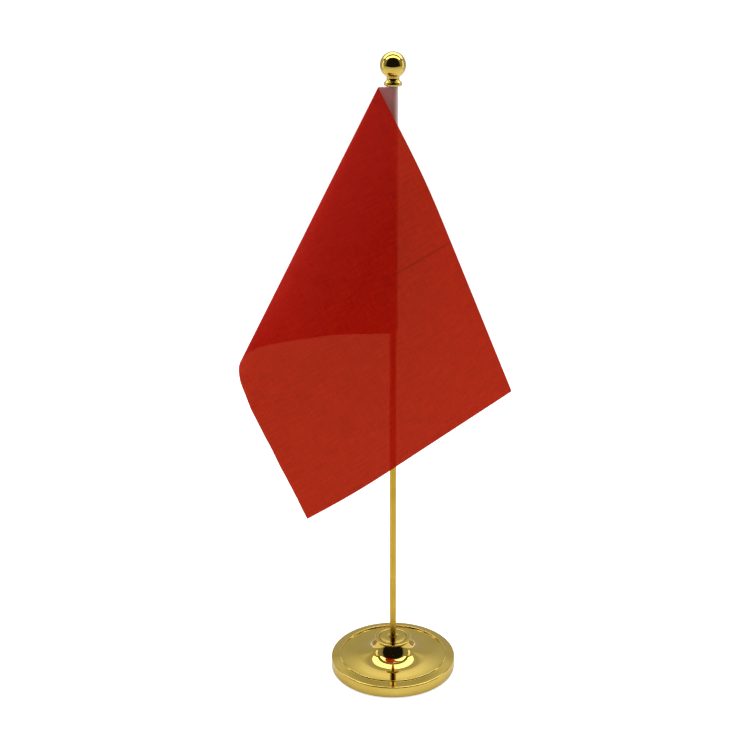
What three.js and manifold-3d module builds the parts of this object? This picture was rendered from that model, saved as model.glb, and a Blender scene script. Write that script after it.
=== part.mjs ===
// A desk flag stand: a round weighted base, a thin pole, a ball finial, and one small cloth flag
// that hangs from a sleeve round the pole and is rolled over once, so that its fly lies in front.
//
// Millimetres, +Z up. The pole stands on the Z axis and the base rests on z = 0. -Y is the front.
import * as THREE from "three";
import { mergeVertices } from "three/addons/utils/BufferGeometryUtils.js";
import Module from "manifold-3d";

/** A point of an outline: radius and height, or x and y. */
const at = (x, y) => new THREE.Vector2(x, y);

// ---------------------------------------------------------------- driving dimensions

const gap = 0.3; // between neighbouring pieces that touch on the real object

// base
const baseRadius = 39;
const rimHeight = 7.5; // top of the outer wall
const rimFillet = 0.8;
const bandWidth = 5.6; // flat band from the outer wall in to the step
const bandRise = 0.7; // the band climbs this much toward the step
const stepRise = 0.6; // the narrow bead that stands on the step
const stepWidth = 0.9;
const plateRadius = 23; // where the trumpet runs out into the plate
const plateHeight = 8.45;
const flareRadius = 13.6; // a point on the trumpet's bend
const flareHeight = 11.8;
const flareSlope = 52; // of the skin there, from upright, degrees
const neckRadius = 10.3;
const neckHeight = 17.8;
const hubRadius = 11.4;
const hubHeight = 20;
const lipWidth = 2.7;
const lipRound = 0.55;
const shellWall = 0.8;
const wallFoot = 0.5; // lower edge of the outer wall above the table
const padThickness = 1.4;
const padInset = 0.6; // between the pad and the outer wall

// how far the trumpet keeps its direction at the ends of its two curves
const neckHold = 2.8;
const flareHoldUp = 2.2;
const flareHoldDown = 2.8;
const plateHold = 4.2;
const neckSlope = 8; // of the skin under the hub, from upright, degrees
const plateSlope = 5; // of the plate beside the trumpet, from level, degrees

// socket in the base
const flangeThickness = 0.8;
const flangeEdge = 0.2;
const socketRadius = 4.1;
const socketFoot = 2.2; // height of the socket's lower end
const washerRadius = 7.4;
const washerThickness = 0.8;
const recessClearance = 0.6; // round the washer, in the ballast
const nutFlats = 11;
const nutThickness = 2.9;

// pole
const poleRadius = 2;
const poleWall = 0.5;
const poleFoot = 12; // the tube stands on the socket's shoulder here
const poleTop = 360.6;
const studRadius = 1.2;
const footStudReach = 8; // of the lower stud below the tube
const headStudReach = 6.9; // of the upper stud above the tube
const studGrip = 12; // length of each stud inside the tube
const tubeEdge = 0.2;
const studTip = 0.4;

// finial
const ballRadius = 7.1;
const ballHeight = 11.2; // centre of the ball above the foot of the collar
const finialNeckRadius = 3.5;
const finialNeckHeight = 3.2;
const collarRadius = 4.9;
const collarHeight = 0.8; // widest part of the collar above its foot
const collarEdge = 0.8; // the collar draws in this much to its foot
const ballMeetAngle = -58; // where the ball runs into the neck, from the horizontal, degrees
const insertWall = 0.7;
const insertLength = 6;

// flag
const hoist = 140;
const flyLength = 200.9; // along the top edge, from the edge inside the sleeve
const flyEdge = 144.2; // the far edge is cut a little longer than the hoist
const flyEdgeSkew = -2.4; // its lower corner, along the hoist direction's perpendicular
const clothThickness = 0.3;
const tapeThickness = 0.3;
const clothInset = 0.9; // the cloth's inner edge, right of the pole's axis
const sleeveFlap = 6.6; // the tape reaches this far left of the pole's axis
const sleeveFlat = 4.5; // left of the pole's axis, where its back half comes down flat
const sleeveHeadroom = 0.1; // the sleeve's top edge above its closed end
const tabThickness = 0.3;
const seamInset = 1; // of the row of thread from the tape's end, and from the top and bottom
const seamWidth = 0.24;

// how the cloth is rolled over: it bends along straight lines that fan out from the top edge
const rollStart = 8.3; // along the top edge, where the roll begins
const rollWidth = 2; // taken up by the roll along the top edge
const rollAngle = 123.1; // of the roll's middle line, from the top edge toward the pole, degrees
const rollSpread = 14.7; // to each side of that line
const rollTurn = 155.4; // how far the cloth turns in the roll
const lean = 2.3; // of the back layer, away from the front
const sweepTurn = 24.5; // slow turn of the back layer before the roll
const wrapTurn = 25.9; // slow turn of the front layer after the roll
const wrapReach = 107.3; // along the top edge, where the front layer becomes flat
const wrapAngle = 139.6; // of the last bend line

// ---------------------------------------------------------------- derived places

const boreRadius = poleRadius + gap;
const socketTop = hubHeight;
const flangeRadius = hubRadius - lipWidth - gap;
const hubFloor = socketTop - flangeThickness - gap;
const stepRadius = baseRadius - bandWidth;
const stepHeight = rimHeight + bandRise;
const tabFoot = poleTop + gap;
const sleeveTop = tabFoot + tabThickness + sleeveHeadroom;
const clothBack = -(poleRadius + 2 * gap); // y of the cloth's back face beside the pole
const finialFoot = sleeveTop + gap;
const insertFoot = finialFoot + gap;

const degrees = Math.PI / 180;

// ---------------------------------------------------------------- helpers

/** A solid of revolution about Z from a closed (radius, height) outline that runs anticlockwise. */
function turned(outline, segments = 48) {
  const points = THREE.ShapeUtils.area(outline) < 0 ? [...outline].reverse() : [...outline];
  const geometry = new THREE.LatheGeometry([...points, points[0].clone()], segments);
  return geometry.rotateX(Math.PI / 2);
}

/** A ring or disc with square edges. */
function ring(inner, outer, low, high, segments = 48) {
  return turned([at(inner, low), at(outer, low), at(outer, high), at(inner, high)], segments);
}

/** An upright prism from an outline in x and y. */
function upright(outline, low, high) {
  const shape = new THREE.Shape(outline);
  const options = { depth: high - low, bevelEnabled: false, curveSegments: 1 };
  return new THREE.ExtrudeGeometry(shape, options).translate(0, 0, low);
}

/** Points along a circular arc; angles in degrees. */
function arc(centre, radius, from, to, steps) {
  const points = [];
  for (let i = 0; i <= steps; i++) {
    const angle = (from + ((to - from) * i) / steps) * degrees;
    points.push(at(centre.x + radius * Math.cos(angle), centre.y + radius * Math.sin(angle)));
  }
  return points;
}

/** Moves an open outline sideways, to the right of its direction. */
function offset(points, distance) {
  return points.map((point, i) => {
    const before = points[Math.max(i - 1, 0)];
    const after = points[Math.min(i + 1, points.length - 1)];
    const along = after.clone().sub(before).normalize();
    return at(point.x + along.y * distance, point.y - along.x * distance);
  });
}

// ---------------------------------------------------------------- solids and booleans

const wasm = await Module();
wasm.setup();

/** A three.js geometry as a solid of the boolean library. */
function solid(geometry) {
  const bare = geometry.index ? geometry.toNonIndexed() : geometry.clone();
  const merged = mergeVertices(
    new THREE.BufferGeometry().setAttribute("position", bare.getAttribute("position")),
    1e-4,
  );
  const vertProperties = merged.attributes.position.array;
  const triVerts = new Uint32Array(merged.index.array);
  return new wasm.Manifold(new wasm.Mesh({ numProp: 3, vertProperties, triVerts }));
}

/** Cuts the tools out of a geometry. */
function cut(geometry, ...tools) {
  const result = tools.reduce((body, tool) => body.subtract(solid(tool)), solid(geometry));
  const mesh = result.getMesh();
  const made = new THREE.BufferGeometry();
  made.setAttribute("position", new THREE.BufferAttribute(mesh.vertProperties, 3));
  made.setIndex(new THREE.BufferAttribute(mesh.triVerts, 1));
  return made;
}

// ---------------------------------------------------------------- materials

const finish = (name, color, roughness, metalness) =>
  new THREE.MeshStandardMaterial({ name, color, roughness, metalness });

const goldPlate = finish("gold_plate", 0xd0ab4c, 0.18, 1);
const poleGold = finish("pole_gold", 0xc6a448, 0.35, 1);
const brass = finish("brass", 0xb08d3e, 0.4, 1);
const zincSteel = finish("zinc_steel", 0x9a9c9e, 0.45, 1);
const castIron = finish("cast_iron", 0x3c3a38, 0.8, 0.6);
const blackFoam = finish("black_foam", 0x161616, 0.95, 0);
const redCloth = finish("red_cloth", 0xa8180c, 0.8, 0);
const whiteTape = finish("white_tape", 0xe8e2da, 0.75, 0);
const whiteThread = finish("white_thread", 0xf0ece4, 0.7, 0);

// ---------------------------------------------------------------- base

/** The skin from the neck down the trumpet and out along the gently falling plate. */
function trumpetSkin() {
  const neck = at(neckRadius, neckHeight);
  const flare = at(flareRadius, flareHeight);
  const plate = at(plateRadius, plateHeight);
  const end = at(stepRadius - stepWidth, stepHeight - shellWall / 4);
  const falling = (slope) => at(Math.sin(slope * degrees), -Math.cos(slope * degrees));
  const ease = (from, slope, distance) => from.clone().addScaledVector(falling(slope), distance);
  const level = 90 - plateSlope;
  const upper = new THREE.CubicBezierCurve(
    neck,
    ease(neck, neckSlope, neckHold),
    ease(flare, flareSlope, -flareHoldUp),
    flare,
  );
  const lower = new THREE.CubicBezierCurve(
    flare,
    ease(flare, flareSlope, flareHoldDown),
    ease(plate, level, -plateHold),
    plate,
  );
  const outer = new THREE.QuadraticBezierCurve(plate, ease(plate, level, plateHold), end);
  return [...upper.getPoints(6), ...lower.getPoints(7).slice(1), ...outer.getPoints(3).slice(1)];
}

/** The whole skin down to the wall's foot: trumpet, plate, step, band and rim. */
function shellSkin() {
  const rim = at(baseRadius - rimFillet, rimHeight - rimFillet);
  return [
    ...trumpetSkin(),
    at(stepRadius - stepWidth / 2, stepHeight + stepRise),
    at(stepRadius, stepHeight),
    ...arc(rim, rimFillet, 80, 0, 3),
    at(baseRadius, wallFoot),
  ];
}

function baseShell() {
  const lip = hubRadius - lipWidth;
  const lipEdge = lipRound / 2;
  const skin = shellSkin();
  const underside = offset(skin, shellWall).reverse();
  const outline = [
    at(socketRadius + gap, hubFloor),
    at(lip, hubFloor),
    at(lip, hubHeight - lipEdge),
    at(lip + lipEdge, hubHeight),
    ...arc(at(hubRadius - lipRound, hubHeight - lipRound), lipRound, 90, -60, 4),
    ...skin,
    ...underside,
    at(neckRadius - shellWall - lipEdge, hubFloor - shellWall),
    at(socketRadius + gap, hubFloor - shellWall),
  ];
  return turned(outline, 60);
}

/** Fills the shell from below, with a hole for the socket and a recess for its nut. */
function ballastDisc() {
  const clear = shellWall + 2 * gap;
  const low = padThickness + gap;
  const recess = washerRadius + recessClearance;
  const recessRoof = socketFoot + nutThickness + washerThickness + 3 * gap;
  const top = hubFloor - shellWall - gap;
  const outline = [
    at(recess, low),
    at(baseRadius - clear, low),
    at(baseRadius - clear, rimHeight - clear),
    ...offset(trumpetSkin(), clear).reverse(),
    at(neckRadius - clear - gap, top),
    at(socketRadius + gap, top),
    at(socketRadius + gap, recessRoof),
    at(recess, recessRoof),
  ];
  return turned(outline, 48);
}

function socketBushing() {
  const shoulder = poleFoot - gap;
  const screwBore = studRadius + gap;
  const outline = [
    at(screwBore, socketFoot),
    at(socketRadius, socketFoot),
    at(socketRadius, socketTop - flangeThickness),
    at(flangeRadius, socketTop - flangeThickness),
    at(flangeRadius, socketTop - flangeEdge),
    at(flangeRadius - flangeEdge, socketTop),
    at(boreRadius, socketTop),
    at(boreRadius, shoulder),
    at(screwBore, shoulder),
  ];
  return turned(outline, 40);
}

function bushingWasher() {
  const low = socketFoot + nutThickness + 2 * gap;
  return ring(socketRadius + gap, washerRadius, low, low + washerThickness, 36);
}

function bushingNut() {
  const low = socketFoot + gap;
  const corners = arc(at(0, 0), nutFlats / 2 / Math.cos(30 * degrees), 0, 300, 5);
  const hexagon = upright(corners, low, low + nutThickness);
  const hole = new THREE.CylinderGeometry(
    socketRadius + gap,
    socketRadius + gap,
    3 * nutThickness,
    36,
  );
  return cut(hexagon, hole.rotateX(Math.PI / 2).translate(0, 0, low));
}

function basePad() {
  const radius = baseRadius - shellWall - padInset;
  const edge = padInset / 2;
  return turned(
    [at(0, 0), at(radius - edge, 0), at(radius, edge), at(radius, padThickness), at(0, padThickness)],
    60,
  );
}

// ---------------------------------------------------------------- pole

function poleTube() {
  const inner = poleRadius - poleWall;
  const outline = [
    at(inner, poleFoot),
    at(poleRadius - tubeEdge, poleFoot),
    at(poleRadius, poleFoot + tubeEdge),
    at(poleRadius, poleTop - tubeEdge),
    at(poleRadius - tubeEdge, poleTop),
    at(inner, poleTop),
  ];
  return turned(outline, 32);
}

function stud(low, high) {
  const outline = [
    at(0, low),
    at(studRadius - studTip, low),
    at(studRadius, low + studTip),
    at(studRadius, high - studTip),
    at(studRadius - studTip, high),
    at(0, high),
  ];
  return turned(outline, 24);
}

// ---------------------------------------------------------------- finial

/** Ball, waisted neck and flared collar in one turned piece, bored from below. */
function finialBall() {
  const ballCentre = at(0, finialFoot + ballHeight);
  const neck = at(finialNeckRadius, finialFoot + finialNeckHeight);
  const ball = arc(ballCentre, ballRadius, 90, ballMeetAngle, 16);
  ball[0].x = 0;
  const collar = new THREE.CubicBezierCurve(
    neck,
    at(finialNeckRadius, finialFoot + finialNeckHeight / 2),
    at(collarRadius - collarEdge, finialFoot + 2 * collarHeight),
    at(collarRadius, finialFoot + collarHeight),
  );
  const bore = studRadius + insertWall + 2 * gap;
  const boreTop = insertFoot + insertLength + gap;
  const outline = [
    at(0, boreTop),
    at(bore, boreTop),
    at(bore, finialFoot),
    at(collarRadius - collarEdge, finialFoot),
    ...collar.getPoints(6).reverse(),
    ...ball.reverse(),
  ];
  return turned(outline, 40);
}

function finialInsert() {
  const bore = studRadius + gap;
  return ring(bore, bore + insertWall, insertFoot, insertFoot + insertLength, 28);
}

// ---------------------------------------------------------------- flag

/** Shares one turn over a fan of bend lines, gently at both ends and most in the middle. */
function fan(start, end, angleFrom, angleTo, turn, count) {
  const lines = [];
  for (let i = 0; i < count; i++) {
    const part = (i + 0.5) / count;
    const weight = (1 - Math.cos(2 * Math.PI * part)) / count;
    lines.push({
      start: start + (end - start) * part,
      angle: (angleFrom + (angleTo - angleFrom) * part) * degrees,
      turn: -turn * weight * degrees,
    });
  }
  return lines;
}

// The flat cloth has its top edge along s and hangs down along v; s = 0 is the edge in the sleeve.
const lowerCorner = { s: flyLength + flyEdgeSkew, v: flyEdge };

/** The distance along a line from the top edge to where it leaves the flat cloth. */
function reach({ start, angle }) {
  const ds = -Math.cos(angle);
  const dv = Math.sin(angle);
  const lowerSlope = (lowerCorner.v - hoist) / lowerCorner.s;
  const flySlope = (lowerCorner.s - flyLength) / lowerCorner.v;
  const toLowerEdge = (hoist + lowerSlope * start) / (dv - lowerSlope * ds);
  const toFlyEdge = (flyLength - start) / (ds - flySlope * dv);
  return Math.min(...[toLowerEdge, toFlyEdge].filter((distance) => distance > 0));
}

/** Every bend line of the hanging cloth, from the sleeve to the fly, with one through the corner. */
function bendLines() {
  const rollFrom = rollAngle - rollSpread;
  const rollTo = rollAngle + rollSpread;
  const rollEnd = rollStart + rollWidth;
  const lines = [
    { start: 0, angle: 90 * degrees, turn: 0 },
    { start: rollStart, angle: 90 * degrees, turn: lean * degrees },
    ...fan(rollStart, rollStart, 91, rollFrom, sweepTurn, 6),
    ...fan(rollStart, rollEnd, rollFrom, rollTo, rollTurn, 18),
    ...fan(rollEnd, wrapReach, rollTo, wrapAngle, wrapTurn, 10),
  ];
  const beyond = ({ start, angle }) =>
    (lowerCorner.s - start) * Math.sin(angle) + lowerCorner.v * Math.cos(angle) < 0;
  const after = lines.findIndex(beyond);
  const [a, b] = [lines[after - 1], lines[after]];
  const through = { start: a.start, angle: a.angle, turn: 0 };
  for (let low = 0, high = 1, i = 0; i < 40; i++) {
    const middle = (low + high) / 2;
    through.start = a.start + (b.start - a.start) * middle;
    through.angle = a.angle + (b.angle - a.angle) * middle;
    if (beyond(through)) high = middle;
    else low = middle;
  }
  lines.splice(after, 0, through);
  for (const share of [0.35, 0.7]) {
    const start = wrapReach + (flyLength - wrapReach) * share;
    lines.push({ start, angle: wrapAngle * degrees, turn: 0 });
  }
  return lines;
}

/** A turn about a line that lies in a plane, as a matrix. */
function turnAbout(point, direction, angle) {
  const there = new THREE.Matrix4().makeTranslation(point.x, point.y, point.z);
  const back = new THREE.Matrix4().makeTranslation(-point.x, -point.y, -point.z);
  return there.multiply(new THREE.Matrix4().makeRotationAxis(direction, angle)).multiply(back);
}

/** The bent cloth as a thin closed solid: rows of points along the bend lines, on both faces. */
function flagCloth() {
  const across = 8;
  const place = new THREE.Matrix4().makeTranslation(
    clothInset,
    clothBack - clothThickness / 2,
    sleeveTop,
  );
  const flatPoint = (s, v) => new THREE.Vector3(-s, 0, -v);
  const rows = [];
  for (const line of bendLines()) {
    const direction = new THREE.Vector3(Math.cos(line.angle), 0, -Math.sin(line.angle));
    const next = place.clone().multiply(turnAbout(flatPoint(line.start, 0), direction, line.turn));
    const before = new THREE.Vector3(0, 1, 0).transformDirection(place);
    const after = new THREE.Vector3(0, 1, 0).transformDirection(next);
    const normal = before.add(after).normalize();
    const length = reach(line);
    const row = [];
    for (let k = 0; k <= across; k++) {
      const distance = (length * k) / across;
      const s = line.start - Math.cos(line.angle) * distance;
      row.push(flatPoint(s, Math.sin(line.angle) * distance).applyMatrix4(place));
    }
    rows.push({ row, normal });
    place.copy(next);
  }
  const tip = flatPoint(flyLength, 0).applyMatrix4(place);
  return thicken(rows, tip, new THREE.Vector3(0, 1, 0).transformDirection(place));
}

/** Two faces half a thickness to each side of the rows, closed round the border. */
function thicken(rows, tip, tipNormal) {
  const positions = [];
  const add = (point, normal, side) => {
    positions.push(...point.clone().addScaledVector(normal, (side * clothThickness) / 2).toArray());
    return positions.length / 3 - 1;
  };
  const faces = [1, -1].map((side) => ({
    grid: rows.map(({ row, normal }) => row.map((point) => add(point, normal, side))),
    tip: add(tip, tipNormal, side),
  }));
  const index = [];
  const quad = (a, b, c, d) => index.push(a, b, c, a, c, d);
  const [back, front] = faces;
  const last = rows.length - 1;
  const across = rows[0].row.length - 1;
  for (let i = 0; i < last; i++) {
    for (let k = 0; k < across; k++) {
      const [g, h] = [back.grid, front.grid];
      quad(g[i][k], g[i][k + 1], g[i + 1][k + 1], g[i + 1][k]);
      quad(h[i][k], h[i + 1][k], h[i + 1][k + 1], h[i][k + 1]);
    }
    quad(back.grid[i][0], back.grid[i + 1][0], front.grid[i + 1][0], front.grid[i][0]);
    quad(
      back.grid[i][across],
      front.grid[i][across],
      front.grid[i + 1][across],
      back.grid[i + 1][across],
    );
  }
  for (let k = 0; k < across; k++) {
    quad(back.grid[0][k], front.grid[0][k], front.grid[0][k + 1], back.grid[0][k + 1]);
    index.push(back.grid[last][k], back.grid[last][k + 1], back.tip);
    index.push(front.grid[last][k], front.tip, front.grid[last][k + 1]);
  }
  quad(back.grid[last][0], back.tip, front.tip, front.grid[last][0]);
  quad(back.grid[last][across], front.grid[last][across], front.tip, back.tip);
  const geometry = new THREE.BufferGeometry();
  geometry.setAttribute("position", new THREE.Float32BufferAttribute(positions, 3));
  geometry.setIndex(index);
  return geometry;
}

/** White tape folded round the pole; its two ends hold the cloth's edge between them. */
function flagSleeve() {
  const frontInner = clothBack - clothThickness - gap;
  const backInner = clothBack + gap;
  const centre = at(0, (frontInner + boreRadius) / 2);
  const loop = boreRadius - centre.y;
  const leaves = 130; // where the back half leaves the pole, round the loop, degrees
  const outside = [
    at(-sleeveFlap, frontInner - tapeThickness),
    ...arc(centre, loop + tapeThickness, -90, leaves, 14),
    at(-sleeveFlat, backInner + tapeThickness),
    at(-sleeveFlap, backInner + tapeThickness),
  ];
  const inside = [
    at(-sleeveFlap, frontInner),
    ...arc(centre, loop, -90, leaves, 14),
    at(-sleeveFlat, backInner),
    at(-sleeveFlap, backInner),
  ];
  return upright([...outside, ...inside.reverse()], sleeveTop - hoist, sleeveTop);
}

/** The sleeve's closed end, a little washer of tape that rests on the pole under the finial. */
function sleeveTopTab() {
  return ring(studRadius + gap, boreRadius, tabFoot, tabFoot + tabThickness, 28);
}

/** One row of thread down the back of the sleeve's flat part. */
function sleeveSeamThread() {
  const low = clothBack + 2 * gap + tapeThickness;
  const left = -sleeveFlap + seamInset - seamWidth / 2;
  const section = [
    at(left, low),
    at(left + seamWidth, low),
    at(left + seamWidth, low + seamWidth),
    at(left, low + seamWidth),
  ];
  return upright(section, sleeveTop - hoist + seamInset, sleeveTop - seamInset);
}

// ---------------------------------------------------------------- the stand

const stand = new THREE.Group();

function piece(name, geometry, material) {
  const mesh = new THREE.Mesh(geometry, material);
  mesh.name = name;
  return mesh;
}

const base = new THREE.Group();
base.add(
  piece("base_shell", baseShell(), goldPlate),
  piece("ballast_disc", ballastDisc(), castIron),
  piece("socket_bushing", socketBushing(), goldPlate),
  piece("bushing_washer", bushingWasher(), zincSteel),
  piece("bushing_nut", bushingNut(), brass),
  piece("base_pad", basePad(), blackFoam),
);

const pole = new THREE.Group();
pole.add(
  piece("pole_tube", poleTube(), poleGold),
  piece("pole_foot_stud", stud(poleFoot - footStudReach, poleFoot + studGrip), brass),
  piece("pole_head_stud", stud(poleTop - studGrip, poleTop + headStudReach), brass),
);

const finial = new THREE.Group();
finial.add(
  piece("finial_ball", finialBall(), goldPlate),
  piece("finial_insert", finialInsert(), brass),
);

const flag = new THREE.Group();
flag.add(
  piece("flag_cloth", flagCloth(), redCloth),
  piece("flag_sleeve", flagSleeve(), whiteTape),
  piece("sleeve_top_tab", sleeveTopTab(), whiteTape),
  piece("sleeve_seam_thread", sleeveSeamThread(), whiteThread),
);

stand.add(base, pole, finial, flag);

export default stand;
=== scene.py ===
# %% [markdown]
# # A desk flag stand
#
# A small red flag hangs from a thin gold pole with a ball finial, on a round, weighted, gold-plated base.
# This file builds how it looks. The sizes and places come from a fixed frame of plain solids that is
# already there, so each piece below is made in the place of one of those solids and rides on its body.
# Every length is written in millimetres and turned into metres in one place.

import math

import bpy
import numpy as np
from mathutils import Matrix, Vector


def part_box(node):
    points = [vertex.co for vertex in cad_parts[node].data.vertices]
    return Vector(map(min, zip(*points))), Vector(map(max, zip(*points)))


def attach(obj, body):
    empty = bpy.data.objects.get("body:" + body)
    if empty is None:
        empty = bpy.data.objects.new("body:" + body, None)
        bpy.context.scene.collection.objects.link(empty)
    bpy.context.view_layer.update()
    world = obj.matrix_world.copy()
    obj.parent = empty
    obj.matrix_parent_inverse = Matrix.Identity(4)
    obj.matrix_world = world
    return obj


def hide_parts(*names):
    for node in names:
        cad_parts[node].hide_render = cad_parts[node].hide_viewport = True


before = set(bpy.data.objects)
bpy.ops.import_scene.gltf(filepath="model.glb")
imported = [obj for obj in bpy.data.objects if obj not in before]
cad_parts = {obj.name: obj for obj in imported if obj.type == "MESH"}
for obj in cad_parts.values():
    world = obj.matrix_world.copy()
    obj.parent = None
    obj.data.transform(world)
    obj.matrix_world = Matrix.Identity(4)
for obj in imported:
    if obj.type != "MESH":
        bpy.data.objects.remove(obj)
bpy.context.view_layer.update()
MM = 0.001
print("nodes in the frame:", len(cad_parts))


def frame_size(node):
    """The lowest and highest corners of a node's box, in millimetres."""
    low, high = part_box(node)
    return Vector(low) / MM, Vector(high) / MM


# %% [markdown]
# ## Turned shapes
#
# Most of this object was made on a lathe or spun over a former, so one outline turned round the Z axis
# gives each of these pieces. The outline is a list of (radius, height) points. A screw modifier would also
# do it, but a few lines of mesh code keep the points shared and let one outline serve for every piece.
# Edges that turn by more than 35 degrees are marked sharp, so that chamfers stay crisp and curves smooth.

# %% Helpers for meshes
SHARP = math.radians(35)


def add_object(name, vertices, faces, material, smooth=True):
    """A mesh object from points in millimetres."""
    mesh = bpy.data.meshes.new(name)
    mesh.from_pydata([tuple(c * MM for c in v) for v in vertices], [], faces)
    mesh.validate()
    mesh.update()
    if smooth:
        mesh.shade_smooth()
        mesh.set_sharp_from_angle(angle=SHARP)
    mesh.materials.append(material)
    obj = bpy.data.objects.new(name, mesh)
    bpy.context.scene.collection.objects.link(obj)
    return obj


def turned(name, outline, material, segments=160, wobble=None):
    """Turns a closed outline about Z. Points on the axis become one vertex each."""
    vertices, rings = [], []
    for radius, height in outline:
        if radius < 1e-6:
            rings.append([len(vertices)] * segments)
            vertices.append((0, 0, height))
            continue
        first = len(vertices)
        for k in range(segments):
            angle = 2 * math.pi * k / segments
            r, z = (radius, height) if wobble is None else wobble(radius, height, angle)
            vertices.append((r * math.cos(angle), r * math.sin(angle), z))
        rings.append(list(range(first, first + segments)))
    faces = []
    for i in range(len(rings)):
        a, b = rings[i], rings[(i + 1) % len(rings)]
        for k in range(segments):
            n = (k + 1) % segments
            corners = [a[k], a[n], b[n], b[k]]
            unique = list(dict.fromkeys(corners))
            if len(unique) >= 3:
                faces.append(unique)
    return add_object(name, vertices, faces, material)


def bezier(p0, p1, p2, p3, steps):
    """Points along a cubic curve, both ends included."""
    points = []
    for i in range(steps + 1):
        t = i / steps
        u = 1 - t
        weights = (u**3, 3 * u * u * t, 3 * u * t * t, t**3)
        points.append(tuple(sum(w * p[c] for w, p in zip(weights, (p0, p1, p2, p3))) for c in (0, 1)))
    return points


def arc(centre, radius, start, end, steps):
    """Points along an arc, angles in degrees."""
    angles = [math.radians(start + (end - start) * i / steps) for i in range(steps + 1)]
    return [(centre[0] + radius * math.cos(a), centre[1] + radius * math.sin(a)) for a in angles]


def shifted(points, distance):
    """An open outline moved sideways, to the right of its direction."""
    moved = []
    for i, point in enumerate(points):
        before, after = points[max(i - 1, 0)], points[min(i + 1, len(points) - 1)]
        along = Vector((after[0] - before[0], after[1] - before[1])).normalized()
        moved.append((point[0] + along.y * distance, point[1] - along.x * distance))
    return moved


print("edges that turn by more than", round(math.degrees(SHARP)), "degrees are marked sharp")

# %% [markdown]
# ## Node helpers for the finishes
#
# A material here is a Principled shader with small node chains on its colour, roughness and bump. These
# helpers only make nodes and join them, so that each finish below reads as a short recipe.

# %% Helpers for materials
class NodeTree:
    """Short ways to add nodes to a node tree."""

    def __init__(self, tree):
        self.tree = tree

    def node(self, kind, inputs=None, **settings):
        made = self.tree.nodes.new(kind)
        for key, value in settings.items():
            setattr(made, key, value)
        for key, value in (inputs or {}).items():
            self.join(value, made.inputs[key])
        return made

    def join(self, value, socket):
        if isinstance(value, bpy.types.NodeSocket):
            self.tree.links.new(value, socket)
        else:
            socket.default_value = value

    def math(self, operation, a, b=0.0, c=0.0, clamp=False):
        made = self.node("ShaderNodeMath", {0: a, 1: b, 2: c}, operation=operation, use_clamp=clamp)
        return made.outputs[0]

    def place(self, scale=(1, 1, 1), source="Object"):
        """Coordinates in metres in the object's own frame, stretched by scale."""
        where = self.node("ShaderNodeTexCoord").outputs[source]
        mapped = self.node("ShaderNodeMapping", {"Vector": where, "Scale": scale})
        return mapped.outputs[0]

    def noise(self, vector, scale, detail=3.0, roughness=0.5):
        made = self.node(
            "ShaderNodeTexNoise",
            {"Vector": vector, "Scale": scale, "Detail": detail, "Roughness": roughness},
        )
        return made.outputs["Fac"]

    def remap(self, value, low, high, to_low, to_high):
        made = self.node(
            "ShaderNodeMapRange",
            {"Value": value, "From Min": low, "From Max": high, "To Min": to_low, "To Max": to_high},
        )
        return made.outputs[0]

    def mix(self, amount, first, second, blend="MIX"):
        made = self.node("ShaderNodeMix", data_type="RGBA", blend_type=blend)
        self.join(amount, made.inputs["Factor"])
        self.join(first, made.inputs[6])
        self.join(second, made.inputs[7])
        return made.outputs[2]

    def bump(self, height, strength, distance, normal=None):
        made = self.node(
            "ShaderNodeBump", {"Height": height, "Strength": strength, "Distance": distance}
        )
        if normal is not None:
            self.join(normal, made.inputs["Normal"])
        return made.outputs[0]


class Finish(NodeTree):
    """A material with a Principled shader."""

    def __init__(self, name):
        self.material = bpy.data.materials.new(name)
        self.material.use_nodes = True
        super().__init__(self.material.node_tree)
        self.shader = self.tree.nodes["Principled BSDF"]
        self.output = self.tree.nodes["Material Output"]

    def set(self, **values):
        for key, value in values.items():
            self.join(value, self.shader.inputs[key.replace("_", " ")])


print("materials are made with", Finish.__name__, "and the room with", NodeTree.__name__)


# %% [markdown]
# ## Gold plating
#
# The base and the finial are plated and then polished, so they mirror the room. Real plating is never
# perfect: thin wipe marks go round the piece, the colour is a little deeper in places, and the reflections
# bend slightly where the metal under the plating isn't flat. The roughness is low and varies a little.
# The turning marks come from a noise that is stretched round the axis, which needs no picture.

# %% Polished gold plating
def radius_and_height(finish):
    """Two outputs: distance from the Z axis, and height, in metres."""
    parts = finish.node("ShaderNodeSeparateXYZ", {0: finish.place()}).outputs
    square = finish.math("MULTIPLY", parts[0], parts[0])
    square = finish.math("MULTIPLY_ADD", parts[1], parts[1], square)
    return finish.math("SQRT", square), parts[2]


def gold_plating(name, roughness, marks=0.02, wave=0.2):
    finish = Finish(name)
    where = finish.place()
    radius, height = radius_and_height(finish)
    round_marks = finish.node("ShaderNodeCombineXYZ", {0: radius, 1: height}).outputs[0]
    rings = finish.noise(round_marks, 5200, 4)
    patches = finish.noise(where, 55, 3)
    dust = finish.noise(where, 1900, 2, 0.7)
    colour = finish.mix(
        finish.remap(patches, 0.35, 0.7, 0, 1), (0.730, 0.525, 0.105, 1), (0.800, 0.590, 0.135, 1)
    )
    rough = finish.remap(rings, 0.3, 0.8, roughness, roughness + marks)
    rough = finish.math("ADD", rough, finish.remap(patches, 0.4, 0.8, 0, marks))
    rough = finish.math("ADD", rough, finish.remap(dust, 0.66, 0.8, 0, 0.05))
    bump = finish.bump(finish.noise(where, 130, 2), wave, 0.00004)
    bump = finish.bump(rings, 0.06, 0.000012, bump)
    finish.set(Metallic=1.0, Base_Color=colour, Roughness=rough, Normal=bump)
    return finish.material


gold_plate = gold_plating("gold_plate", 0.045)
print("made", gold_plate.name)

# %% [markdown]
# ## The pole's finish
#
# The pole is drawn tube. Its plating is thinner and duller than the base's, with long faint drawing lines
# and slightly uneven thickness, so its edges of light waver. The noise is stretched along Z for the lines.

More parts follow.
